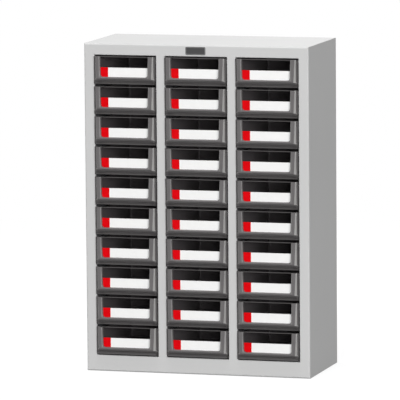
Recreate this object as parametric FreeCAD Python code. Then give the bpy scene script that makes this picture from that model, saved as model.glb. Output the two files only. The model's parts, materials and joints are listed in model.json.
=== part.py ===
import FreeCAD, Part
import os

from FreeCAD import Vector

# A sheet steel parts cabinet with three columns of ten moulded drawers, in millimetres.
# Z is up and the drawers open towards -Y. The origin is on the floor, under the middle of the
# whole object's box.

# Cabinet body
cabinet_width = 586.0
cabinet_depth = 270.0
cabinet_height = 835.0
body_sheet = 1.2
fold_radius = 4.0
cap_turn = 6.0
corner_lap = 6.0
stile_width = 26.5
divider_width = 22.6
top_rail = 29.0
bottom_rail = 41.0
rim_radius = 2.0
rim_return = 15.0
rear_flange = 15.0
divider_flange_gap = 1.6
column_count = 3
row_count = 10

# Back panel and its rivets
back_sheet = 1.0
back_edge_gap = 0.8
rivet_head_radius = 4.0
rivet_head_height = 1.0
rivet_shank_radius = 2.0
rivet_tail_length = 1.5
rivet_tail_radius = 3.0
rivets_up_side = 5
rivets_along_edge = 3

# Name plate
plate_width = 52.0
plate_height = 20.0
plate_thickness = 1.2
plate_corner = 3.0
plate_edge = 0.4

# Runners
runner_sheet = 1.0
runner_leg = 6.0
runner_fold = 0.9
runner_front_setback = 8.0
runner_end_gap = 0.5
stop_drop = 1.4
stop_length = 3.0
stop_setback = 2.5

# Drawer front, measured from its lower edge and from the body's front plane
front_width = 152.4
front_height = 70.0
row_top_gap = 3.0
bezel_reach = 12.8
bezel_depth = 8.0
bezel_bottom = 13.9
chamfer_top = 1.2
chamfer_bottom = 4.4
chamfer_rear = 9.0
chamfer_drop = 1.6
bezel_edge = 0.7
window_width_top = 126.8
window_width_bottom = 123.8
window_bottom = 18.3
window_corner = 6.5
window_edge = 2.1
groove_bottom = 7.7
groove_reach = 4.0
lip_width = 155.6
lip_reach = 9.5
lip_tuck = 6.0
lip_edge = 0.9
front_wall = 2.2
front_wall_width = 161.2
label_top = 41.8
grip_top = 68.0
grip_width = 125.6
grip_corner = 1.5

# Label card and index tab
card_width = 130.4
card_height = 27.0
card_thickness = 0.4
card_slot = 1.6
card_side_gap = 0.4
tab_width = 22.0
tab_thickness = 0.8
tab_rise = 0.3
tab_edge = 0.25

# Drawer tray
tray_width = 144.0
tray_wall = 1.8
tray_rise = 3.0
tray_height = 59.2
tray_corner = 7.0
tray_floor_radius = 3.0
tray_rear_gap = 6.0
flange_thickness = 2.2
flange_side_gap = 0.7
flange_front_setback = 9.5
slide_gap = 0.3
flange_top_gap = 2.0
nib_height = 1.4
nib_length = 5.0
slide_travel = 190.0

# How far a cutting shape runs past what it cuts
overrun = 20.0

# Places worked out from the sizes above
half_width = cabinet_width / 2
front_y = bezel_reach - (cabinet_depth + bezel_reach + rivet_head_height) / 2
rear_y = front_y + cabinet_depth
panel_y = rear_y - body_sheet
panel_front_y = panel_y - back_sheet
opening_width = (
    cabinet_width - 2 * stile_width - (column_count - 1) * divider_width
) / column_count
opening_top = cabinet_height - top_rail
row_pitch = (opening_top - bottom_rail) / row_count
column_pitch = opening_width + divider_width
columns = [
    (number - (column_count - 1) / 2) * column_pitch for number in range(column_count)
]
dividers = [
    (first + second) / 2 for first, second in zip(columns[:-1], columns[1:])
]
liner_x = half_width - stile_width
rim_rear_y = front_y + rim_return

# Places on one drawer, whose own frame is on the body's front plane, at its lower middle
wall_front = -bezel_reach + bezel_depth + card_slot
wall_rear = wall_front + front_wall
tray_rear = panel_front_y - front_y - tray_rear_gap
tray_top = tray_rise + tray_height
flange_bottom = tray_top - flange_thickness
flange_reach = opening_width / 2 - runner_sheet - flange_side_gap
card_bottom = label_top - card_height

# Places on one runner, in its drawer's frame
channel_floor = flange_bottom - slide_gap
channel_roof = tray_top + flange_top_gap
runner_front = runner_front_setback
runner_rear = tray_rear + runner_end_gap + runner_sheet
stop_front = runner_front + stop_setback
nib_front = stop_front + stop_length + slide_gap + slide_travel


def box(x_range, y_range, z_range):
    """A block between two values of each coordinate."""
    low = Vector(x_range[0], y_range[0], z_range[0])
    size = [end[1] - end[0] for end in (x_range, y_range, z_range)]
    return Part.makeBox(*size, low)


def across(half):
    """A range that is even about zero."""
    return (-half, half)


def flat_outline(points, y):
    """A closed wire through points given as x and z, in the plane at y."""
    corners = [Vector(x, y, z) for x, z in points]
    return Part.makePolygon(corners + corners[:1])


def plate_of(points, y_range):
    """A flat plate with an outline in x and z, between two values of y."""
    face = Part.Face(flat_outline(points, y_range[0]))
    return face.extrude(Vector(0, y_range[1] - y_range[0], 0))


def edges_where(shape, test):
    """The edges whose two ends both pass a test."""
    return [
        edge
        for edge in shape.Edges
        if edge.Vertexes and all(test(vertex.Point) for vertex in edge.Vertexes)
    ]


def near(first, second):
    return abs(first - second) < body_sheet / 100


def runs_along(edge, direction):
    """True where an edge's ends lie apart only along one direction, 0 to 2 for X to Z."""
    ends = [vertex.Point for vertex in edge.Vertexes]
    if len(ends) != 2:
        return False
    gap = ends[1] - ends[0]
    return all(near(gap[number], 0) for number in range(3) if number != direction)


def whole(shape):
    """One clean solid of a shape that is made of joined pieces."""
    clean = shape.removeSplitter()
    return clean.Solids[0] if len(clean.Solids) == 1 else clean


def fused(first, *others):
    return whole(first.fuse(list(others)))


def moved(shape, x=0.0, y=0.0, z=0.0):
    copy = shape.copy()
    copy.translate(Vector(x, y, z))
    return copy


def mirrored(shape):
    """The shape on the other side of the middle plane."""
    return shape.mirror(Vector(0, 0, 0), Vector(1, 0, 0))


def soft_block(inset):
    """The body's block, inset on every side, with the folds round its front."""
    y_range = (front_y + inset, rear_y - inset)
    block = box(across(half_width - inset), y_range, (inset, cabinet_height - inset))
    front = edges_where(block, lambda point: near(point.y, y_range[0]))
    return block.makeFillet(fold_radius - inset, front)


def body_skin():
    """The whole painted shell in one piece: front openings with their returns, and the open rear."""
    skin = soft_block(0.0).cut(soft_block(body_sheet))
    rear = box(
        across(half_width - rear_flange),
        (rear_y - rear_flange, rear_y + overrun),
        (rear_flange, cabinet_height - rear_flange),
    )
    skin = skin.cut(rear)
    openings = []
    returns = []
    for column in columns:
        x_range = (column - opening_width / 2, column + opening_width / 2)
        z_range = (bottom_rail, opening_top)
        openings.append(box(x_range, (front_y - overrun, rim_rear_y + overrun), z_range))
        tube = box(
            (x_range[0] - body_sheet, x_range[1] + body_sheet),
            (front_y + body_sheet / 2, rim_rear_y),
            (z_range[0] - body_sheet, z_range[1] + body_sheet),
        )
        returns.append(tube)
    skin = skin.fuse(returns).cut(openings[0].fuse(openings[1:])).removeSplitter()

    def on_rim(point):
        beside = any(near(abs(point.x - column), opening_width / 2) for column in columns)
        level = near(point.z, bottom_rail) or near(point.z, opening_top)
        return near(point.y, front_y) and beside and level

    return skin.makeFillet(rim_radius, edges_where(skin, on_rim))


def side_region():
    """The space of the right side panel: its stile laps the rails' ends, and the top and bottom
    panels turn over its ends."""
    return box(
        (liner_x - corner_lap, half_width + overrun),
        (front_y - overrun, rear_y + overrun),
        (cap_turn, cabinet_height - cap_turn),
    )


def divider_region(x):
    return box(
        (x - divider_width / 2, x + divider_width / 2),
        (front_y - overrun, rim_rear_y + overrun),
        (bottom_rail, opening_top),
    )


def body_panels():
    """The side, top and bottom panels and the dividers' front strips, cut from one skin."""
    skin = body_skin()
    right = whole(skin.common(side_region()))
    strips = [whole(skin.common(divider_region(x))) for x in dividers]
    rest = skin.cut([side_region(), mirrored(side_region())])
    rest = rest.cut([divider_region(x) for x in dividers])
    upper = box(
        across(half_width + overrun),
        (front_y - overrun, rear_y + overrun),
        (cabinet_height / 2, cabinet_height + overrun),
    )
    return right, whole(rest.common(upper)), whole(rest.cut(upper)), strips


def divider(strip, x):
    """A folded channel: the front strip, a wall each side and a flange each at the rear."""
    z_range = (body_sheet, cabinet_height - body_sheet)
    pieces = []
    for side in (-1, 1):
        face = x + side * divider_width / 2
        inner = face - side * body_sheet
        wall_x = sorted((face, inner))
        pieces.append(box(wall_x, (rim_rear_y, panel_front_y), z_range))
        flange_x = sorted((face, x + side * divider_flange_gap / 2))
        flange_y = (panel_front_y - body_sheet, panel_front_y)
        pieces.append(box(flange_x, flange_y, z_range))
    return fused(strip, *pieces)


def side_liner():
    """The right column's outer wall, with flanges that reach the side panel."""
    z_range = (body_sheet, cabinet_height - body_sheet)
    reach = (liner_x, half_width - body_sheet)
    wall = box((liner_x, liner_x + body_sheet), (rim_rear_y, panel_front_y), z_range)
    front = box(reach, (rim_rear_y, rim_rear_y + body_sheet), z_range)
    rear = box(reach, (panel_front_y - body_sheet, panel_front_y), z_range)
    return drilled(fused(wall, front, rear))


def rivet_places():
    """Where the back panel is riveted to the flanges round it, as x and z."""
    x_edge = half_width - rear_flange / 2
    z_low, z_high = rear_flange / 2, cabinet_height - rear_flange / 2
    step_z = (z_high - z_low) / rivets_up_side
    step_x = 2 * x_edge / rivets_along_edge
    places = []
    for number in range(rivets_up_side):
        level = z_low + step_z * (number + 1 / 2)
        places += [(-x_edge, level), (x_edge, level)]
    for number in range(rivets_along_edge):
        place = -x_edge + step_x * (number + 1 / 2)
        places += [(place, z_low), (place, z_high)]
    return places


def rod(radius, y_range, place):
    base = Vector(place[0], y_range[0], place[1])
    return Part.makeCylinder(radius, y_range[1] - y_range[0], base, Vector(0, 1, 0))


def rivet(place):
    """A dome head on the rear flange, a shank through the sheets and a set tail inside."""
    head = rod(rivet_head_radius, (rear_y, rear_y + rivet_head_height), place)
    rim = edges_where(head, lambda point: near(point.y, rear_y + rivet_head_height))
    head = head.makeFillet(rivet_head_height * 3 / 4, rim)
    through_liner = abs(place[0]) > liner_x
    inner_y = panel_front_y - body_sheet if through_liner else panel_front_y
    shank = rod(rivet_shank_radius, (inner_y, rear_y), place)
    tail = rod(rivet_tail_radius, (inner_y - rivet_tail_length, inner_y), place)
    return fused(shank, head, tail)


def drilled(shape):
    """The shape with the back panel's rivet holes."""
    holes = [
        rod(rivet_shank_radius, (panel_front_y - overrun, rear_y + overrun), place)
        for place in rivet_places()
    ]
    return whole(shape.cut(holes))


def back_panel():
    edge = body_sheet + back_edge_gap
    z_range = (edge, cabinet_height - edge)
    return drilled(box(across(half_width - edge), (panel_front_y, panel_y), z_range))


def name_plate():
    middle = cabinet_height - top_rail / 2
    z_range = (middle - plate_height / 2, middle + plate_height / 2)
    y_range = (front_y - plate_thickness, front_y)
    plate = box(across(plate_width / 2), y_range, z_range)
    corners = [edge for edge in plate.Edges if runs_along(edge, 1)]
    plate = plate.makeFillet(plate_corner, corners)
    rim = edges_where(plate, lambda point: near(point.y, front_y - plate_thickness))
    return plate.makeChamfer(plate_edge, rim)


def runner(side):
    """One folded channel beside a drawer, with a stop near its front and a closed rear."""
    wall = side * opening_width / 2
    x_range = sorted((wall, wall - side * (runner_sheet + runner_leg)))
    z_range = (channel_floor - runner_sheet, channel_roof + runner_sheet)
    channel = box(x_range, (runner_front, runner_rear), z_range)
    folds = [
        edge
        for edge in edges_where(channel, lambda point: near(point.x, wall))
        if runs_along(edge, 1)
    ]
    channel = channel.makeFillet(runner_fold, folds)
    web = wall - side * runner_sheet
    inside_x = sorted((web, web - side * (runner_leg + overrun)))
    inside_y = (runner_front - overrun, runner_rear - runner_sheet)
    channel = channel.cut(box(inside_x, inside_y, (channel_floor, channel_roof)))
    stop = box(
        sorted((web, web - side * runner_leg)),
        (stop_front, stop_front + stop_length),
        (channel_roof - stop_drop, channel_roof),
    )
    return fused(channel, stop)


def bezel():
    """The solid U that frames the drawer front, with a chamfer down each side."""
    half = front_width / 2
    face_y, rear_edge = -bezel_reach, -bezel_reach + chamfer_rear
    face = [
        (-half + chamfer_bottom, bezel_bottom),
        (half - chamfer_bottom, bezel_bottom),
        (half - chamfer_top, front_height),
        (-half + chamfer_top, front_height),
    ]
    base = [
        (-half, bezel_bottom - chamfer_drop),
        (half, bezel_bottom - chamfer_drop),
        (half, front_height),
        (-half, front_height),
    ]
    outlines = [flat_outline(face, face_y), flat_outline(base, rear_edge)]
    front = Part.makeLoft(outlines, True, True)
    behind = plate_of(base, (rear_edge, wall_front))
    solid = fused(front, behind)
    soft = edges_where(solid, lambda point: near(point.y, face_y))
    solid = solid.makeFillet(bezel_edge, soft).cut(window())

    def on_window(point):
        inside = abs(point.x) < window_width_top / 2 + window_edge
        return near(point.y, face_y) and inside and point.z > window_bottom - window_edge

    return solid.makeFillet(window_edge, edges_where(solid, on_window))


def window():
    """The cut for the label and grip window, rounded at its lower corners."""
    low, high = window_width_bottom / 2, window_width_top / 2
    top = front_height + overrun
    lean = (high - low) / (front_height - window_bottom)
    points = [
        (-low, window_bottom),
        (low, window_bottom),
        (high + lean * overrun, top),
        (-high - lean * overrun, top),
    ]
    cut = plate_of(points, (-bezel_reach - overrun, -bezel_reach + bezel_depth))
    corners = [
        edge
        for edge in edges_where(cut, lambda point: near(point.z, window_bottom))
        if runs_along(edge, 1)
    ]
    return cut.makeFillet(window_corner, corners)


def lower_lip():
    """The strip under the bezel: a groove's floor, then a lip that leans back as it goes down."""
    half = lip_width / 2
    band = box(across(half), (-groove_reach, wall_front), (0, bezel_bottom))
    profile = [
        Vector(-half, wall_front, 0),
        Vector(-half, -lip_reach + lip_tuck, 0),
        Vector(-half, -lip_reach, groove_bottom),
        Vector(-half, wall_front, groove_bottom),
    ]
    face = Part.Face(Part.makePolygon(profile + profile[:1]))
    lip = face.extrude(Vector(lip_width, 0, 0))
    soft = [
        edge
        for edge in edges_where(lip, lambda point: point.y < -groove_reach)
        if runs_along(edge, 0)
    ]
    return band, lip.makeFillet(lip_edge, soft)


def grip_opening():
    """The opening above the label that a finger goes in. It starts inside the card slot."""
    y_range = (wall_front - card_slot / 2, wall_rear + tray_wall)
    cut = box(across(grip_width / 2), y_range, (label_top, grip_top))
    corners = [edge for edge in cut.Edges if runs_along(edge, 1)]
    return cut.makeFillet(grip_corner, corners)


def card_slot_cut():
    """The slot behind the bezel that the card and the tab slide into from above."""
    y_range = (wall_front - card_slot, wall_front)
    half = card_width / 2 + card_side_gap
    return box(across(half), y_range, (card_bottom, front_height + overrun))


def tray_box():
    """The open tray with round corners, hollowed from above."""
    half = tray_width / 2
    block = box(across(half), (wall_rear - front_wall, tray_rear), (tray_rise, tray_top))
    rear = [
        edge
        for edge in edges_where(block, lambda point: near(point.y, tray_rear))
        if runs_along(edge, 2)
    ]
    block = block.makeFillet(tray_corner, rear)
    below = edges_where(block, lambda point: near(point.z, tray_rise))
    below = [edge for edge in below if not near(edge.BoundBox.YMax, wall_rear - front_wall)]
    block = block.makeFillet(tray_floor_radius, below)
    room = box(
        across(half - tray_wall),
        (wall_rear, tray_rear - tray_wall),
        (tray_rise + tray_wall, tray_top + overrun),
    )
    upright = [edge for edge in room.Edges if runs_along(edge, 2)]
    rear = [edge for edge in upright if near(edge.BoundBox.YMin, tray_rear - tray_wall)]
    room = room.makeFillet(tray_corner - tray_wall, rear)
    below = edges_where(room, lambda point: near(point.z, tray_rise + tray_wall))
    return block, room.makeFillet(tray_floor_radius - tray_wall / 2, below)


def flange(side):
    """The rib that runs in a channel, with the nib that stops the drawer."""
    y_range = (flange_front_setback, tray_rear - tray_corner)
    reach = sorted((side * flange_reach, side * (tray_width / 2 - tray_wall)))
    rib = box(reach, y_range, (flange_bottom, tray_top))
    nib_x = sorted((side * flange_reach, side * (flange_reach - runner_leg / 2)))
    nib_y = (nib_front, nib_front + nib_length)
    nib = box(nib_x, nib_y, (tray_top, tray_top + nib_height))
    return rib, nib


def tray():
    """The moulded drawer: tray, front wall, bezel, lip and side flanges in one piece."""
    block, room = tray_box()
    wall = box(across(front_wall_width / 2), (wall_front, wall_rear), (0, front_height))
    band, lip = lower_lip()
    ribs = [*flange(-1), *flange(1)]
    solid = fused(block, wall, bezel(), band, lip, *ribs)
    return whole(solid.cut([card_slot_cut(), grip_opening(), room]))


def label_card():
    y_range = (wall_front - card_thickness, wall_front)
    return box(across(card_width / 2), y_range, (card_bottom, label_top))


def index_tab():
    """The coloured tab over the card's left end."""
    left = -card_width / 2
    y_range = (wall_front - card_thickness - tab_thickness, wall_front - card_thickness)
    tab = box((left, left + tab_width), y_range, (card_bottom, label_top + tab_rise))
    return tab.makeChamfer(tab_edge, edges_where(tab, lambda p: near(p.y, y_range[0])))


def cells():
    """Each drawer's column, row and place, from the top row down."""
    for row in range(row_count):
        z = opening_top - row_top_gap - front_height - row * row_pitch
        for column, x in enumerate(columns):
            yield column, row, x, z


def save(name, shapes):
    solids = [solid for shape in shapes for solid in shape.Solids]
    for solid in solids:
        if not solid.isValid():
            print("not valid:", name)
    out = solids[0] if len(solids) == 1 else Part.makeCompound(solids)
    out.exportStep(os.path.join("parts", name + ".step"))


def build():
    os.makedirs("parts", exist_ok=True)
    right, top, bottom, strips = body_panels()
    right = drilled(right)
    save("right_side_panel", [right])
    save("left_side_panel", [mirrored(right)])
    save("top_panel", [drilled(top)])
    save("bottom_panel", [drilled(bottom)])
    for name, strip, x in zip(("left", "right"), strips, dividers):
        save(name + "_divider", [divider(strip, x)])
    save("right_side_liner", [side_liner()])
    save("left_side_liner", [mirrored(side_liner())])
    save("back_panel", [back_panel()])
    save("back_panel_rivets", [rivet(place) for place in rivet_places()])
    save("name_plate", [name_plate()])

    column_names = ("left", "middle", "right")
    runners = {}
    drawer = [tray(), label_card(), index_tab()]
    sides = [("left", runner(-1)), ("right", runner(1))]
    for column, row, x, z in cells():
        name = "drawer_" + column_names[column] + "_" + str(row + 1).zfill(2)
        save(name, [moved(piece, x, front_y, z) for piece in drawer])
        for side, channel in sides:
            group = column_names[column] + "_column_" + side + "_runners"
            runners.setdefault(group, []).append(moved(channel, x, front_y, z))
    for group, channels in runners.items():
        save(group, channels)


build()
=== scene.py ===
import json
import math

import bmesh
import bpy
from mathutils import Matrix, Vector


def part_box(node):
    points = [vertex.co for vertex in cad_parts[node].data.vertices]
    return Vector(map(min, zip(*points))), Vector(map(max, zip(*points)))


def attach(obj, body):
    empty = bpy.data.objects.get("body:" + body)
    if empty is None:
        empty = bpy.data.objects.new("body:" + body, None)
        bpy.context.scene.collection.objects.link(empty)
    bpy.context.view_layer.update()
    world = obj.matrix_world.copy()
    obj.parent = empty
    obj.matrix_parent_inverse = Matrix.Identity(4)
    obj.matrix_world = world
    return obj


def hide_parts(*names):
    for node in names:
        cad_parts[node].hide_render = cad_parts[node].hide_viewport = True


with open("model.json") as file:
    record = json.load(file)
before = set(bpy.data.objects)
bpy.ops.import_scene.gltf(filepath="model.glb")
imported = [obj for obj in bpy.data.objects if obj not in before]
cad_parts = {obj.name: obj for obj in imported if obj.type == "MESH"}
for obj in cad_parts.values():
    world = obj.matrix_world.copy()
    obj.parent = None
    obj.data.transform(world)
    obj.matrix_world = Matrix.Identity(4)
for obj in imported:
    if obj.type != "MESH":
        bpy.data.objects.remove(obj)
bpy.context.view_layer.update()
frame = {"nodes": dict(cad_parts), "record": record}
nodes = frame["nodes"]
scene = bpy.context.scene
scene.view_settings.view_transform = "Standard"
mm = 0.001  # metres in a millimetre
print("frame loaded,", len(nodes), "nodes")

# The camera stands a little to the right of the cabinet and above it, far away, with a long lens.
camera = {
    "yaw": 16.24,  # degrees round from straight in front
    "pitch": 7.10,  # degrees above level
    "roll": -0.45,
    "distance": 12.156,  # metres from the aim point
    "aim": (-0.0291, 0.0014, 0.4276),
    "lens": 430.3,
    "sensor": 36.0,
    "clipEnd": 200.0,
}


def outward(azimuth, elevation):
    # the direction away from the cabinet at these angles, in degrees
    azimuth, elevation = math.radians(azimuth), math.radians(elevation)
    level = math.cos(elevation)
    return Vector((math.sin(azimuth) * level, -math.cos(azimuth) * level, math.sin(elevation)))


def placeCamera():
    back = outward(camera["yaw"], camera["pitch"])
    roll = math.radians(camera["roll"])
    right = Vector((0, 0, 1)).cross(back).normalized()
    up = back.cross(right)
    turnedRight = right * math.cos(roll) + up * math.sin(roll)
    turnedUp = up * math.cos(roll) - right * math.sin(roll)
    data = bpy.data.cameras.new("photoCamera")
    data.lens = camera["lens"]
    data.sensor_width = camera["sensor"]
    data.clip_end = camera["clipEnd"]
    holder = bpy.data.objects.new("photoCamera", data)
    place = Matrix((turnedRight, turnedUp, back)).transposed().to_4x4()
    place.translation = Vector(camera["aim"]) + back * camera["distance"]
    holder.matrix_world = place
    scene.collection.objects.link(holder)
    scene.camera = holder


placeCamera()
print("camera placed")


class Wire:
    # one output of a node tree, which takes part in sums

    def __init__(self, tree, socket=None):
        self.tree = tree
        self.socket = socket

    def node(self, kind, settings=None, values=None, output=0):
        # any node: its settings are set first, then its sockets get values or links
        made = self.tree.nodes.new("ShaderNode" + kind)
        for name, setting in (settings or {}).items():
            setattr(made, name, setting)
        for name, value in (values or {}).items():
            if isinstance(value, Wire):
                self.tree.links.new(value.socket, made.inputs[name])
            else:
                made.inputs[name].default_value = value
        if len(made.outputs):
            return Wire(self.tree, made.outputs[output])
        return None

    def work(self, operation, *values):
        return self.node("Math", {"operation": operation}, dict(enumerate(values)))

    def __add__(self, other):
        return self.work("ADD", self, other)

    def __radd__(self, other):
        return self.work("ADD", other, self)

    def __sub__(self, other):
        return self.work("SUBTRACT", self, other)

    def __rsub__(self, other):
        return self.work("SUBTRACT", other, self)

    def __mul__(self, other):
        return self.work("MULTIPLY", self, other)

    def __rmul__(self, other):
        return self.work("MULTIPLY", other, self)

    def __truediv__(self, other):
        return self.work("DIVIDE", self, other)

    def __abs__(self):
        return self.work("ABSOLUTE", self)

    def rise(self, low, high):
        # 0 below low, 1 above high, smooth between them
        ends = {"Value": self, "From Min": low, "From Max": high}
        return self.node("MapRange", {"interpolation_type": "SMOOTHSTEP"}, ends)

    def axes(self):
        return [self.node("SeparateXYZ", values={"Vector": self}, output=axis) for axis in range(3)]

    def noise(self, scale, detail=2.0, roughness=0.5, stretch=(1.0, 1.0, 1.0)):
        place = self.node("Mapping", values={"Vector": self, "Scale": stretch})
        values = {"Vector": place, "Scale": scale, "Detail": detail, "Roughness": roughness}
        return self.node("TexNoise", values=values)

    def middling(self):
        # a noise's values lie mostly round 0.5, and this spreads them over 0 to 1
        return self.rise(0.3, 0.7)

    def cells(self, scale):
        return self.node("TexVoronoi", values={"Vector": self, "Scale": scale}, output=1)

    def between(self, first, second):
        # a colour from the first at 0 to the second at 1
        colours = [c if isinstance(c, Wire) else (*c, 1.0) for c in (first, second)]
        values = {0: self, 6: colours[0], 7: colours[1]}
        return self.node("Mix", {"data_type": "RGBA"}, values, output=2)

    def bump(self, strength, depth):
        return self.node("Bump", values={"Height": self, "Strength": strength, "Distance": depth})


def newMaterial(name):
    material = bpy.data.materials.new(name)
    material.use_nodes = True
    material.node_tree.nodes.clear()
    return material, Wire(material.node_tree).node("TexCoord", output=3)


def finishMaterial(material, place, values):
    shader = place.node("BsdfPrincipled", values=values)
    place.node("OutputMaterial", values={"Surface": shader})
    return material


# The floor and the room. What the camera sees of them is white, with the cabinet's soft shadow.
room = {
    "floorSize": 60.0,
    "floorDrop": 0.0004,  # metres below the cabinet's base
    "floorColour": (0.15, 0.15, 0.15, 1.0),
    "shownColour": (0.24, 0.24, 0.24, 1.0),
    "shownGlow": 0.80,
    "whiteFrom": 1.0,  # metres from the middle, where the shown floor starts to turn plain white
    "whiteBy": 3.0,
    "daylight": 0.22,  # the world's strength for the light on the object
}


def seenDirectly(wire):
    # 1 for what the camera sees, also in gloss and through glass
    seen = wire.node("LightPath", output="Is Camera Ray") + wire.node("LightPath", output="Is Glossy Ray")
    seen = seen + wire.node("LightPath", output="Is Transmission Ray")
    return wire.work("MINIMUM", seen, 1.0)


def makeRoom():
    bm = bmesh.new()
    bmesh.ops.create_grid(bm, x_segments=1, y_segments=1, size=room["floorSize"] / 2)
    mesh = bpy.data.meshes.new("floor")
    bm.to_mesh(mesh)
    bm.free()
    floor = bpy.data.objects.new("floor", mesh)
    floor.location.z = -room["floorDrop"]
    scene.collection.objects.link(floor)

    material, place = newMaterial("paleFloor")
    across, along, _ = place.axes()
    away = place.work("SQRT", across * across + along * along).rise(room["whiteFrom"], room["whiteBy"])
    plain = place.node("BsdfDiffuse", values={"Color": room["floorColour"]})
    shown = place.node("BsdfDiffuse", values={"Color": room["shownColour"]})
    glow = place.node("Emission", values={"Strength": room["shownGlow"]})
    shown = place.node("AddShader", values={0: shown, 1: glow})
    white = place.node("Emission", values={"Strength": 1.0})
    shown = place.node("MixShader", values={0: away, 1: shown, 2: white})
    surface = place.node("MixShader", values={0: seenDirectly(place), 1: plain, 2: shown})
    place.node("OutputMaterial", values={"Surface": surface})
    mesh.materials.append(material)

    world = bpy.data.worlds.new("softRoom")
    world.use_nodes = True
    world.node_tree.nodes.clear()
    wire = Wire(world.node_tree)
    light = room["daylight"] + seenDirectly(wire) * (1.0 - room["daylight"])
    air = wire.node("Background", values={"Strength": light})
    wire.node("OutputWorld", values={"Surface": air})
    scene.world = world


# Soft boxes round the cabinet, in degrees, metres and watts: azimuth 0 is straight in front and 90 is
# the cabinet's right side.
lampAim = (0.0, 0.0, 0.45)
lamps = {
    "keyBox": {"azimuth": -5, "elevation": 46, "distance": 45.0, "size": (18.0, 18.0), "power": 8100.0},
    "fillBox": {"azimuth": 30.5, "elevation": 10, "distance": 24.0, "size": (12.0, 7.5), "power": 3640.0},
    "topBox": {"azimuth": 0, "elevation": 84, "distance": 8.0, "size": (4.0, 4.0), "power": 268.0},
    "leftBox": {"azimuth": -112, "elevation": 20, "distance": 12.0, "size": (5.0, 5.0), "power": 360.0},
    "backBox": {"azimuth": 180, "elevation": 25, "distance": 16.0, "size": (6.0, 6.0), "power": 760.0},
}


def makeLamps():
    aim = Vector(lampAim)
    for name, lamp in lamps.items():
        data = bpy.data.lights.new(name, "AREA")
        data.shape = "RECTANGLE"
        data.size, data.size_y = lamp["size"]
        data.energy = lamp["power"]
        holder = bpy.data.objects.new(name, data)
        back = outward(lamp["azimuth"], lamp["elevation"])
        holder.location = aim + back * lamp["distance"]
        holder.rotation_euler = back.to_track_quat("Z", "Y").to_euler()
        scene.collection.objects.link(holder)


makeRoom()
makeLamps()
print("room and lamps made")


# Light grey powder coat on the sheet steel body. The inside faces get a near-black painted shade for the
# dark inside of the cabinet.
bodyPaint = {
    "light": (0.590, 0.590, 0.588),
    "dark": (0.566, 0.566, 0.565),
    # painted shade: a near-black tone on the inside faces, where shade falls
    "insideShade": (0.085, 0.085, 0.088),
    "skinFrom": 0.00042,  # how far in from the outside, in metres, the painted shade starts
    "skinBy": 0.0006,
    "turn": 0.006,  # how far back past the front the light coat goes on each opening's edge
    "turnFade": 0.004,
    "cloudShare": 0.7,  # of the tint; the grain has the rest
    "grainHeight": 0.3,
    "cloudScale": 3.0,  # per metre
    "peelScale": 520.0,
    "grainScale": 3600.0,
    "roughness": 0.62,
    "cloudRough": 0.06,
    "grainRough": 0.08,
    "bump": 0.22,
    "bumpDepth": 0.00025,
    "specular": 0.45,
}


def paintedInsideShade(place):
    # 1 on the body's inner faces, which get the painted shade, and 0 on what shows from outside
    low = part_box("left_side_panel")[0]
    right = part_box("right_side_panel")[1].x
    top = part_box("top_panel")[1].z
    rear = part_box("back_panel")[1].y
    x, y, z = place.axes()
    within = place.work("MINIMUM", x - low.x, right - x)
    within = place.work("MINIMUM", within, place.work("MINIMUM", z, top - z))
    within = place.work("MINIMUM", within, rear - y)
    back = (y - low.y).rise(bodyPaint["turn"], bodyPaint["turn"] + bodyPaint["turnFade"])
    return within.rise(bodyPaint["skinFrom"], bodyPaint["skinBy"]) * back


def makeBodyPaint():
    d = bodyPaint
    material, place = newMaterial("bodyPaint")
    cloud = place.noise(d["cloudScale"], detail=3.0)
    peel = place.noise(d["peelScale"], roughness=0.55)
    grain = place.noise(d["grainScale"], detail=1.0)
    tint = cloud.middling() * d["cloudShare"] + grain.middling() * (1.0 - d["cloudShare"])
    coat = tint.between(d["dark"], d["light"])
    return finishMaterial(material, place, {
        # the inner faces take the near-black painted shade instead of the coat
        "Base Color": paintedInsideShade(place).between(coat, d["insideShade"]),
        "Roughness": d["roughness"] + cloud * d["cloudRough"] + grain * d["grainRough"],
        "Normal": (peel + grain * d["grainHeight"]).bump(d["bump"], d["bumpDepth"]),
        "Specular IOR Level": d["specular"],
    })


# One drawer, drawn once in millimetres. Its origin is on the body's front plane, at the drawer's
# lower middle; x is across, y goes back into the cabinet and z is up.
drawerFront = {
    "width": 152.4,
    "height": 70.0,
    "reach": 12.8,
    "bezelBottom": 13.9,
    "chamferTop": 1.2,
    "chamferBottom": 4.4,
    "chamferRear": 9.0,
    "chamferDrop": 1.6,
    "edge": 0.7,
    "wallWidth": 161.2,
    "wallFront": -3.2,
    "wallRear": -1.0,
    "grooveBottom": 7.7,
    "grooveReach": 4.0,
    "lipWidth": 155.6,
    "lipReach": 9.5,
    "lipTuck": 6.0,
    "lipEdge": 0.9,
    "rearEdge": 0.4,
    "overlap": 0.3,  # how far the solids that are joined reach into one another
}
window = {"topWidth": 126.8, "bottomWidth": 123.8, "bottom": 18.3, "corner": 6.5, "rim": 2.1, "rear": -4.7}
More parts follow.
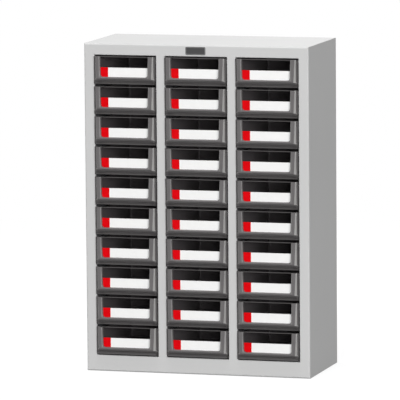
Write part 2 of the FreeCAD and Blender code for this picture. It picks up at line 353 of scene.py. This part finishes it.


# Dark grey plastic with a fine moulded grain. Hands polish it a little round each grip. The bezel's sides
# and the window's rims get a pale painted highlight; the wall behind the bezel is matt with painted shade,
# and the groove has the darkest painted shade.
drawerPlastic = {
    "light": (0.140, 0.133, 0.134),
    "dark": (0.118, 0.112, 0.113),
    # painted highlight: a pale tone standing in for light on the bezel's slanted sides
    "paintedHighlight": (0.480, 0.475, 0.465),
    # painted shade: a darker tone for the recessed wall and the lip, which are also matt
    "mattAndShade": (0.058, 0.054, 0.054),
    "shaded": (0.034, 0.031, 0.031),
    "inside": (0.128, 0.115, 0.120),
    "highlightFrom": 2.0,  # millimetres above the bezel's bottom
    "rimShare": 0.25,  # how far the window's side rims go to the painted highlight tone
    "wallShare": 0.85,  # and the wall and the lip to the matt tone with painted shade
    "lipShare": 0.05,
    "grooveShare": 0.7,  # how far the groove goes to the darkest painted shade
    "fade": 0.4,  # millimetres over which one tone turns into the next
    "cloudShare": 0.5,
    "flowShare": 0.3,
    "grainShare": 0.2,
    "evenHighlight": 0.8,  # the part of the painted highlight that the clouds don't change
    "cloudScale": 14.0,
    "grainScale": 1500.0,
    "flowScale": 30.0,
    "flowStretch": (0.15, 1.0, 1.0),  # faint flow lines along the front
    "rowBottom": 41.0,  # millimetres from the floor to the lowest drawers
    "rowPitch": 76.5,
    "columnPitch": 185.2,
    "handledFrom": 42.0,  # millimetres above a drawer's foot
    "handledBy": 61.0,
    "handledClouds": (0.35, 0.6),
    "roughness": 0.33,
    "grainRough": 0.12,
    "mattRough": 0.15,
    "polish": 0.05,
    "bump": 0.12,
    "bumpDepth": 0.0002,
    "specular": 0.35,
}


def alongDrawers(place):
    # millimetres from the nearest column's middle, in front of the body, and up from the drawer's foot
    across, back, up = [axis / mm for axis in place.axes()]
    pitch = drawerPlastic["rowPitch"]
    fromMiddle = place.work("PINGPONG", across, drawerPlastic["columnPitch"] / 2)
    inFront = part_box("left_side_panel")[0].y / mm - back
    height = place.work("FRACT", (up - drawerPlastic["rowBottom"]) / pitch) * pitch
    return fromMiddle, inFront, height


def paintedHighlightMask(fromMiddle, inFront, height):
    # where the painted highlight goes: 1 on the slanted sides of each bezel, and less on the window's side
    # rims
    d, fade = drawerFront, drawerPlastic["fade"]
    slope = (d["chamferBottom"] - d["chamferTop"]) / (d["height"] - d["bezelBottom"])
    edge = d["width"] / 2 - d["chamferBottom"] + (height - d["bezelBottom"]) * slope
    foot = d["bezelBottom"] + drawerPlastic["highlightFrom"]
    sides = (fromMiddle - edge).rise(-fade, fade / 2) * height.rise(foot, foot + fade)
    inner, outer = window["bottomWidth"] / 2, window["topWidth"] / 2 + window["rim"]
    rims = fromMiddle.rise(inner - fade, inner) * (1.0 - fromMiddle.rise(outer - fade * 2, outer))
    rims = rims * height.rise(window["bottom"], window["bottom"] + window["corner"])
    slantRear = d["reach"] - d["chamferRear"]
    return (sides + rims * drawerPlastic["rimShare"]) * inFront.rise(slantRear, slantRear + fade)


def darkerFaces(inFront, height):
    # how matt the wall and the lip are, which also darkens them as painted shade, and where the darkest
    # painted shade is: the groove and beside the lip
    d, fade = drawerFront, drawerPlastic["fade"]
    proud = inFront.rise(-d["wallFront"] + fade / 2, -d["wallFront"] + fade)
    wall = inFront.rise(-d["wallRear"] - fade / 2, -d["wallRear"]) * (1.0 - proud)
    below = 1.0 - height.rise(d["bezelBottom"] - fade * 2, d["bezelBottom"] - fade / 2)
    groove = height.rise(d["grooveBottom"] - fade * 2, d["grooveBottom"])
    mattAndShade = wall * drawerPlastic["wallShare"] + below * proud * drawerPlastic["lipShare"]
    return mattAndShade, below * (wall + proud * groove * drawerPlastic["grooveShare"])


def makeDrawerPlastic():
    d = drawerPlastic
    material, place = newMaterial("drawerPlastic")
    cloud = place.noise(d["cloudScale"], detail=3.0)
    grain = place.noise(d["grainScale"], roughness=0.6)
    flow = place.noise(d["flowScale"], stretch=d["flowStretch"])
    fromMiddle, inFront, height = alongDrawers(place)
    handled = height.rise(d["handledFrom"], d["handledBy"]) * cloud.rise(*d["handledClouds"])
    tint = cloud.middling() * d["cloudShare"] + flow.middling() * d["flowShare"]
    tint = tint + grain.middling() * d["grainShare"]
    moulded = tint.between(d["dark"], d["light"])
    moulded = inFront.rise(0.0, -drawerFront["wallRear"]).between(d["inside"], moulded)
    mattAndShade, shaded = darkerFaces(inFront, height)
    # painted shade: the wall and the lip darker, the groove and the faces beside the lip darkest
    moulded = shaded.between(mattAndShade.between(moulded, d["mattAndShade"]), d["shaded"])
    paintedHighlight = paintedHighlightMask(fromMiddle, inFront, height)
    paintedHighlight = paintedHighlight * (d["evenHighlight"] + cloud.middling() * (1.0 - d["evenHighlight"]))
    roughness = d["roughness"] + grain * d["grainRough"] + mattAndShade * d["mattRough"]
    return finishMaterial(material, place, {
        # a pale painted highlight on the bezels' sides and the window's rims
        "Base Color": paintedHighlight.between(moulded, d["paintedHighlight"]),
        "Roughness": roughness - handled * d["polish"],
        "Normal": grain.bump(d["bump"], d["bumpDepth"]),
        "Specular IOR Level": d["specular"],
    })


# White card with soft fibres.
labelCard = {
    "light": (0.93, 0.93, 0.925),
    "dark": (0.885, 0.885, 0.875),
    "cloudScale": 60.0,
    "fibreScale": 900.0,
    "fibreStretch": (0.35, 1.0, 1.0),
    "roughness": 0.66,
    "fibreRough": 0.2,
    "contrast": (0.25, 0.75),
    "cloudShare": 0.5,
    "bump": 0.10,
    "bumpDepth": 0.00008,
    "specular": 0.3,
}


def makeLabelCard():
    material, place = newMaterial("labelCard")
    cloud = place.noise(labelCard["cloudScale"], detail=3.0)
    stretch = labelCard["fibreStretch"]
    fibre = place.noise(labelCard["fibreScale"], detail=3.0, roughness=0.65, stretch=stretch)
    share, contrast = labelCard["cloudShare"], labelCard["contrast"]
    tint = cloud.rise(*contrast) * share + fibre.rise(*contrast) * (1.0 - share)
    return finishMaterial(material, place, {
        "Base Color": tint.between(labelCard["dark"], labelCard["light"]),
        "Roughness": labelCard["roughness"] + fibre * labelCard["fibreRough"],
        "Normal": fibre.bump(labelCard["bump"], labelCard["bumpDepth"]),
        "Specular IOR Level": labelCard["specular"],
    })


# Red plastic of the index tabs.
indexTab = {
    "light": (0.76, 0.002, 0.006),
    "dark": (0.68, 0.001, 0.004),
    "cloudScale": 90.0,
    "grainScale": 1300.0,
    "roughness": 0.42,
    "grainRough": 0.14,
    "bump": 0.06,
    "bumpDepth": 0.00012,
    "specular": 0.06,
}


def makeIndexTab():
    material, place = newMaterial("indexTab")
    cloud = place.noise(indexTab["cloudScale"])
    grain = place.noise(indexTab["grainScale"])
    return finishMaterial(material, place, {
        "Base Color": cloud.middling().between(indexTab["dark"], indexTab["light"]),
        "Roughness": indexTab["roughness"] + grain * indexTab["grainRough"],
        "Normal": grain.bump(indexTab["bump"], indexTab["bumpDepth"]),
        "Specular IOR Level": indexTab["specular"],
    })


# Zinc plated steel of the runners, with faint crystals and rolling marks.
runnerSteel = {
    "light": (0.66, 0.67, 0.68),
    "dark": (0.50, 0.51, 0.53),
    "crystalScale": 110.0,
    "rolledScale": 900.0,
    "rolledStretch": (1.0, 0.03, 1.0),
    "crystalShare": 0.6,
    "roughness": 0.30,
    "spread": 0.12,
    "bump": 0.08,
    "bumpDepth": 0.0001,
}


def makeRunnerSteel():
    material, place = newMaterial("runnerSteel")
    crystal = place.cells(runnerSteel["crystalScale"]).axes()[0]
    rolled = place.noise(runnerSteel["rolledScale"], stretch=runnerSteel["rolledStretch"])
    share = runnerSteel["crystalShare"]
    tint = crystal * share + rolled.middling() * (1.0 - share)
    return finishMaterial(material, place, {
        "Base Color": tint.between(runnerSteel["dark"], runnerSteel["light"]),
        "Roughness": runnerSteel["roughness"] + (crystal + rolled) * runnerSteel["spread"],
        "Normal": rolled.bump(runnerSteel["bump"], runnerSteel["bumpDepth"]),
        "Metallic": 1.0,
    })


# Plain aluminium of the rivets.
rivetMetal = {
    "light": (0.74, 0.74, 0.75),
    "dark": (0.60, 0.60, 0.61),
    "turnedScale": 1400.0,
    "stainScale": 180.0,
    "roughness": 0.26,
    "turnedRough": 0.2,
    "bump": 0.06,
    "bumpDepth": 0.0001,
}


def makeRivetMetal():
    material, place = newMaterial("rivetMetal")
    turned = place.noise(rivetMetal["turnedScale"])
    stain = place.noise(rivetMetal["stainScale"])
    return finishMaterial(material, place, {
        "Base Color": stain.middling().between(rivetMetal["dark"], rivetMetal["light"]),
        "Roughness": rivetMetal["roughness"] + turned * rivetMetal["turnedRough"],
        "Normal": turned.bump(rivetMetal["bump"], rivetMetal["bumpDepth"]),
        "Metallic": 1.0,
    })


# The plate on the top rail is bare: dark satin with a fine lighter line just inside its edge.
plate = {
    "face": (0.030, 0.030, 0.031),
    "line": (0.30, 0.30, 0.30),
    "lineIn": 0.0013,  # metres in from the edge
    "lineWidth": 0.0007,
    "lineFade": 0.0001,
    "lineShare": 0.9,
    "brushShare": 0.05,
    "brushHeight": 0.1,
    "brushScale": 2400.0,
    "brushStretch": (0.04, 1.0, 1.0),
    "roughness": 0.34,
    "brushRough": 0.16,
    "bump": 0.3,
    "bumpDepth": 0.00015,
}


def makePlateDark():
    material, place = newMaterial("plateDark")
    low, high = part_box("name_plate")
    middle, half = (low + high) / 2, (high - low) / 2
    x, _, z = place.axes()
    inside = place.work("MINIMUM", half.x - abs(x - middle.x), half.z - abs(z - middle.z))
    start, end = plate["lineIn"], plate["lineIn"] + plate["lineWidth"]
    line = inside.rise(start, start + plate["lineFade"]) * (1.0 - inside.rise(end, end + plate["lineFade"]))
    brushed = place.noise(plate["brushScale"], stretch=plate["brushStretch"])
    tint = line * plate["lineShare"] + brushed * plate["brushShare"]
    return finishMaterial(material, place, {
        "Base Color": tint.between(plate["face"], plate["line"]),
        "Roughness": plate["roughness"] + brushed * plate["brushRough"],
        "Normal": (line + brushed * plate["brushHeight"]).bump(plate["bump"], plate["bumpDepth"]),
    })


slotMaterials = {
    "body_paint": makeBodyPaint(),
    "drawer_plastic": makeDrawerPlastic(),
    "label_card": makeLabelCard(),
    "index_tab": makeIndexTab(),
    "runner_steel": makeRunnerSteel(),
    "rivet_metal": makeRivetMetal(),
    "plate_dark": makePlateDark(),
}
print("materials made")


def toMesh(bm, name):
    bmesh.ops.recalc_face_normals(bm, faces=bm.faces)
    mesh = bpy.data.meshes.new(name)
    bm.to_mesh(mesh)
    bm.free()
    return mesh


def block(bm, low, high):
    # a box between two corners
    size = [end - start for start, end in zip(low, high)]
    middle = [(start + end) / 2 for start, end in zip(low, high)]
    place = Matrix.Translation(middle) @ Matrix.Diagonal((*size, 1.0))
    return bmesh.ops.create_cube(bm, size=1.0, matrix=place)["verts"]


def edgesWhere(bm, test):
    return [edge for edge in bm.edges if all(test(vert.co) for vert in edge.verts)]


# How many segments a rounded edge has, and how many millimetres apart two equal places may be.
steps = {"slight": 2, "plain": 3, "floor": 4, "corner": 6}
nearness = 0.01


def soften(bm, edges, width, segments=steps["slight"]):
    bmesh.ops.bevel(bm, geom=edges, offset=width, offset_type="OFFSET", affect="EDGES",
                    segments=segments, profile=0.5, material=-1)


def pull(bm, face, move, keep=False):
    # extrudes one face and returns the new end face; the old face stays only as an outer end
    made = bmesh.ops.extrude_face_region(bm, geom=[face], use_keep_orig=True)["geom"]
    if not keep:
        bmesh.ops.delete(bm, geom=[face], context="FACES_ONLY")
    verts = [part for part in made if isinstance(part, bmesh.types.BMVert)]
    bmesh.ops.translate(bm, vec=move, verts=verts)
    faces = [part for part in made if isinstance(part, bmesh.types.BMFace)]
    return next(end for end in faces if all(vert in verts for vert in end.verts))


def isNear(first, second):
    return abs(first - second) < nearness


def bezelBlock():
    d = drawerFront
    half = d["width"] / 2
    low, high = half - d["chamferBottom"], half - d["chamferTop"]
    bm = bmesh.new()
    outline = [(-low, d["bezelBottom"]), (low, d["bezelBottom"]), (high, d["height"]), (-high, d["height"])]
    face = bm.faces.new([bm.verts.new((x, -d["reach"], z)) for x, z in outline])
    face = pull(bm, face, (0, d["chamferRear"], 0), keep=True)
    for vert in face.verts:
        vert.co.x = math.copysign(half, vert.co.x)
        if vert.co.z < d["height"] / 2:
            vert.co.z -= d["chamferDrop"]
    pull(bm, face, (0, d["wallFront"] + d["overlap"] + d["reach"] - d["chamferRear"], 0))
    bmesh.ops.recalc_face_normals(bm, faces=bm.faces)
    soften(bm, edgesWhere(bm, lambda co: isNear(co.y, -d["reach"])), d["edge"], steps["plain"])
    rear = d["chamferRear"] - d["reach"]
    slantEnd = edgesWhere(bm, lambda co: isNear(co.y, rear) and not isNear(co.z, d["height"]))
    soften(bm, slantEnd, d["edge"] / 2)
    return toMesh(bm, "bezelBlock")


def frontWall():
    d = drawerFront
    half = d["wallWidth"] / 2
    bm = bmesh.new()
    block(bm, (-half, d["wallFront"], 0), (half, d["wallRear"], d["height"]))
    soften(bm, edgesWhere(bm, lambda co: isNear(co.y, d["wallRear"])), d["rearEdge"])
    return toMesh(bm, "frontWall")


def lowerLip():
    d = drawerFront
    half = d["lipWidth"] / 2
    rear = d["wallFront"] + d["overlap"]
    profile = [
        (rear, 0),
        (-d["lipReach"] + d["lipTuck"], 0),
        (-d["lipReach"], d["grooveBottom"]),
        (-d["grooveReach"], d["grooveBottom"]),
        (-d["grooveReach"], d["bezelBottom"]),
        (rear, d["bezelBottom"]),
    ]
    bm = bmesh.new()
    face = bm.faces.new([bm.verts.new((-half, y, z)) for y, z in profile])
    pull(bm, face, (d["lipWidth"], 0, 0), keep=True)
    bmesh.ops.recalc_face_normals(bm, faces=bm.faces)
    long = [edge for edge in bm.edges if isNear(edge.calc_length(), d["lipWidth"])]
    front = [edge for edge in long if isNear(edge.verts[0].co.y, -d["lipReach"])]
    soften(bm, front, d["lipEdge"], steps["plain"])
    return toMesh(bm, "lowerLip")


tray = {
    "width": 144.0,
    "bottom": 3.0,
    "top": 62.2,
    "rear": 261.8,
    "wall": 1.8,
    "corner": 7.0,
    "floorRadius": 3.0,
    "rimEdge": 0.4,
    "rimAngle": 60.0,  # edges sharper than this are the rim
}


def trayShell():
    d = tray
    half = d["width"] / 2
    front = (drawerFront["wallFront"] + drawerFront["wallRear"]) / 2
    bm = bmesh.new()
    block(bm, (-half, front, d["bottom"]), (half, d["rear"], d["top"]))
    behind = edgesWhere(bm, lambda co: isNear(co.y, d["rear"]))
    upright = [edge for edge in behind if isNear(edge.verts[0].co.x, edge.verts[1].co.x)]
    soften(bm, upright, d["corner"], steps["corner"])
    below = edgesWhere(bm, lambda co: isNear(co.z, d["bottom"]))
    rounded = [edge for edge in below if not all(isNear(vert.co.y, front) for vert in edge.verts)]
    soften(bm, rounded, d["floorRadius"], steps["floor"])
    mouth = [face for face in bm.faces if all(isNear(vert.co.z, d["top"]) for vert in face.verts)]
    mouth += [face for face in bm.faces if all(isNear(vert.co.y, front) for vert in face.verts)]
    bmesh.ops.delete(bm, geom=mouth, context="FACES")
    mesh = toMesh(bm, "trayShell")
    holder = bpy.data.objects.new("trayShell", mesh)
    scene.collection.objects.link(holder)
    thick = holder.modifiers.new("wall", "SOLIDIFY")
    thick.thickness = d["wall"]
    thick.offset = -1.0
    thick.use_even_offset = True
    rim = holder.modifiers.new("rim", "BEVEL")
    rim.width = d["rimEdge"]
    rim.segments = steps["slight"]
    rim.limit_method = "ANGLE"
    rim.angle_limit = math.radians(d["rimAngle"])
    return evaluated(holder, "trayWalls")


# The rails run in the runners, and the nib near each rail's end stops the drawer.
rail = {"reach": 79.6, "front": 9.5, "rear": 254.8, "thickness": 2.2, "edge": 0.5}
nib = {"width": 3.0, "front": 203.8, "length": 5.0, "height": 1.4, "edge": 0.4}


def sideRail(side):
    d = rail
    inner = tray["width"] / 2 - tray["wall"] + drawerFront["overlap"]
    left, right = sorted((side * inner, side * d["reach"]))
    bm = bmesh.new()
    block(bm, (left, d["front"], tray["top"] - d["thickness"]), (right, d["rear"], tray["top"]))
    soften(bm, edgesWhere(bm, lambda co: isNear(abs(co.x), d["reach"])), d["edge"])
    return toMesh(bm, "sideRail")


def stopNib(side):
    d = nib
    left, right = sorted((side * rail["reach"], side * (rail["reach"] - d["width"])))
    foot, top = tray["top"] - rail["thickness"] / 2, tray["top"] + d["height"]
    bm = bmesh.new()
    block(bm, (left, d["front"], foot), (right, d["front"] + d["length"], top))
    soften(bm, edgesWhere(bm, lambda co: isNear(co.z, top)), d["edge"])
    return toMesh(bm, "stopNib")


cutter = {
    "above": 8.0,  # millimetres that the open cutters go on above the drawer
    "mouthDepth": 2.9,  # in rims
    "cornerSteps": 8,
    "rimSteps": 4,
}


def openingCutter(name, outline, corners, radius, rim, front, rear):
    # a cutter whose mouth opens out, so that the opening it leaves has a rounded rim
    bm = bmesh.new()
    verts = [bm.verts.new((x, front, z)) for x, z in outline]
    bm.faces.new(verts)
    bmesh.ops.bevel(bm, geom=[verts[number] for number in corners], offset=radius + rim,
                    offset_type="OFFSET", affect="VERTICES", segments=cutter["cornerSteps"],
                    profile=0.5, material=-1)
    face = bm.faces[:][0]
    pull(bm, face, (0, -cutter["mouthDepth"] * rim, 0), keep=True)
    for number in range(1, cutter["rimSteps"] + 1):
        before, after = [math.pi / 2 * n / cutter["rimSteps"] for n in (number - 1, number)]
        inward = rim * (math.sin(after) - math.sin(before))
        deeper = rim * (math.cos(before) - math.cos(after))
        bmesh.ops.inset_region(bm, faces=[face], thickness=inward, use_even_offset=True, use_boundary=True)
        bmesh.ops.translate(bm, vec=(0, deeper, 0), verts=face.verts)
    pull(bm, face, (0, rear - front - rim, 0))
    return toMesh(bm, name)


def windowCutter():
    d = window
    low, high = d["bottomWidth"] / 2 + d["rim"], d["topWidth"] / 2 + d["rim"]
    bottom, top = d["bottom"] - d["rim"], drawerFront["height"] + cutter["above"]
    lean = (high - low) / (drawerFront["height"] - d["bottom"])
    high += lean * cutter["above"]
    outline = [(-low, bottom), (low, bottom), (high, top), (-high, top)]
    front = -drawerFront["reach"]
    return openingCutter("windowCutter", outline, (0, 1), d["corner"], d["rim"], front, d["rear"])


grip = {"width": 125.6, "bottom": 41.8, "top": 68.0, "corner": 1.5, "rim": 0.4, "rear": 2.0}


def gripCutter():
    d = grip
    half = d["width"] / 2 + d["rim"]
    bottom, top = d["bottom"] - d["rim"], d["top"] + d["rim"]
    outline = [(-half, bottom), (half, bottom), (half, top), (-half, top)]
    front = drawerFront["wallFront"]
    return openingCutter("gripCutter", outline, (0, 1, 2, 3), d["corner"], d["rim"], front, d["rear"])


slot = {"width": 131.2, "bottom": 14.8, "front": -4.8, "rear": -3.2}


def slotCutter():
    d = slot
    bm = bmesh.new()
    half = d["width"] / 2
    block(bm, (-half, d["front"], d["bottom"]), (half, d["rear"], drawerFront["height"] + cutter["above"]))
    return toMesh(bm, "slotCutter")


def evaluated(holder, name):
    # the mesh of an object with its modifiers, and the object is gone
    bpy.context.view_layer.update()
    graph = bpy.context.evaluated_depsgraph_get()
    mesh = bpy.data.meshes.new_from_object(holder.evaluated_get(graph))
    mesh.name = name
    bpy.data.objects.remove(holder)
    return mesh


def carved(name, solids, cutters):
    # one closed mesh: the first solid joined with the others, less the cutters
    base = bpy.data.objects.new(name, solids[0])
    scene.collection.objects.link(base)
    tools = []
    for operation, meshes in (("UNION", solids[1:]), ("DIFFERENCE", cutters)):
        for mesh in meshes:
            tool = bpy.data.objects.new("tool", mesh)
            scene.collection.objects.link(tool)
            tools.append(tool)
            step = base.modifiers.new("step", "BOOLEAN")
            step.operation = operation
            step.solver = "EXACT"
            step.object = tool
    mesh = evaluated(base, name)
    for tool in tools:
        bpy.data.objects.remove(tool)
    return mesh


# Millimetres between points that are one, and the angles up to which faces are flat and edges soft.
dressing = {"mergeWithin": 0.002, "flatTo": 0.1, "sharpFrom": 35.0}


def dressed(mesh, name):
    # millimetres become metres, and faces in one plane become one; only the soft edges shade smoothly
    bm = bmesh.new()
    bm.from_mesh(mesh)
    bmesh.ops.remove_doubles(bm, verts=bm.verts, dist=dressing["mergeWithin"])
    flat = math.radians(dressing["flatTo"])
    bmesh.ops.dissolve_limit(bm, angle_limit=flat, verts=bm.verts, edges=bm.edges)
    bmesh.ops.scale(bm, vec=(mm, mm, mm), verts=bm.verts)
    bm.to_mesh(mesh)
    bm.free()
    mesh.shade_smooth()
    mesh.set_sharp_from_angle(angle=math.radians(dressing["sharpFrom"]))
    holder = bpy.data.objects.new(name, mesh)
    scene.collection.objects.link(holder)
    weigh = holder.modifiers.new("weigh", "WEIGHTED_NORMAL")
    weigh.keep_sharp = True
    return evaluated(holder, name)


def makeTrayShape():
    solids = [frontWall(), bezelBlock(), lowerLip(), trayShell()]
    for side in (-1, 1):
        solids += [sideRail(side), stopNib(side)]
    mesh = carved("tray", solids, [slotCutter(), windowCutter(), gripCutter()])
    return dressed(mesh, "trayShape")


# The card stands in the slot behind the bezel; the tab covers its left end.
card = {"width": 130.4, "bottom": 14.8, "top": 41.8, "thickness": 0.4, "bow": 0.3, "columns": 24, "rows": 2}
tab = {"width": 22.0, "rise": 0.3, "thickness": 0.8, "edge": 0.25}


def makeCardShape():
    d = card
    half, rear = d["width"] / 2, drawerFront["wallFront"]
    bm = bmesh.new()
    place = Matrix.Translation((0, rear, (d["bottom"] + d["top"]) / 2))
    place = place @ Matrix.Rotation(math.pi / 2, 4, "X")
    place = place @ Matrix.Diagonal((half, (d["top"] - d["bottom"]) / 2, 1.0, 1.0))
    bmesh.ops.create_grid(bm, x_segments=d["columns"], y_segments=d["rows"], size=1.0, matrix=place)
    free = half - tab["width"]
    for vert in bm.verts:  # a loose card bows a little where the tab doesn't hold it
        along = (vert.co.x + free) / (free + half)
        if along > 0:
            vert.co.y -= d["bow"] * math.sin(math.pi * along) ** 2
    made = bmesh.ops.extrude_face_region(bm, geom=bm.faces[:], use_keep_orig=True)["geom"]
    bmesh.ops.translate(bm, vec=(0, -d["thickness"], 0),
                        verts=[part for part in made if isinstance(part, bmesh.types.BMVert)])
    return dressed(toMesh(bm, "card"), "cardShape")


def makeTabShape():
    d = tab
    left, rear = -card["width"] / 2, drawerFront["wallFront"] - card["thickness"]
    front = rear - d["thickness"]
    bm = bmesh.new()
    block(bm, (left, front, card["bottom"]), (left + d["width"], rear, card["top"] + d["rise"]))
    soften(bm, edgesWhere(bm, lambda co: isNear(co.y, front)), d["edge"])
    return dressed(toMesh(bm, "tab"), "tabShape")


def fitDrawers():
    shapes = (
        ("tray", makeTrayShape(), "drawer_plastic"),
        ("card", makeCardShape(), "label_card"),
        ("tab", makeTabShape(), "index_tab"),
    )
    drawers = sorted(name for name in nodes if name.startswith("drawer_"))
    for drawer in drawers:
        low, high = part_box(drawer)
        place = Vector(((low.x + high.x) / 2, low.y + drawerFront["reach"] * mm, low.z))
        for part, shape, slotName in shapes:
            mesh = shape.copy()
            mesh.transform(Matrix.Translation(place))
            mesh.materials.clear()
            mesh.materials.append(slotMaterials[slotName])
            piece = bpy.data.objects.new(drawer + "_" + part, mesh)
            scene.collection.objects.link(piece)
            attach(piece, drawer + "_body")
            if part == "tray":
                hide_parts(drawer)
    print("drawers fitted:", len(drawers), "of", len(shapes[0][1].polygons), "faces each")


fitDrawers()


def paintNodes():
    # the carried-over nodes keep their shapes and get the finished materials
    for part in frame["record"]["subparts"]:
        holder = nodes[part["node"]]
        material = slotMaterials[part["material_slot"]]
        if holder.data.materials:
            for number in range(len(holder.data.materials)):
                holder.data.materials[number] = material
        else:
            holder.data.materials.append(material)


paintNodes()
print("nodes painted")
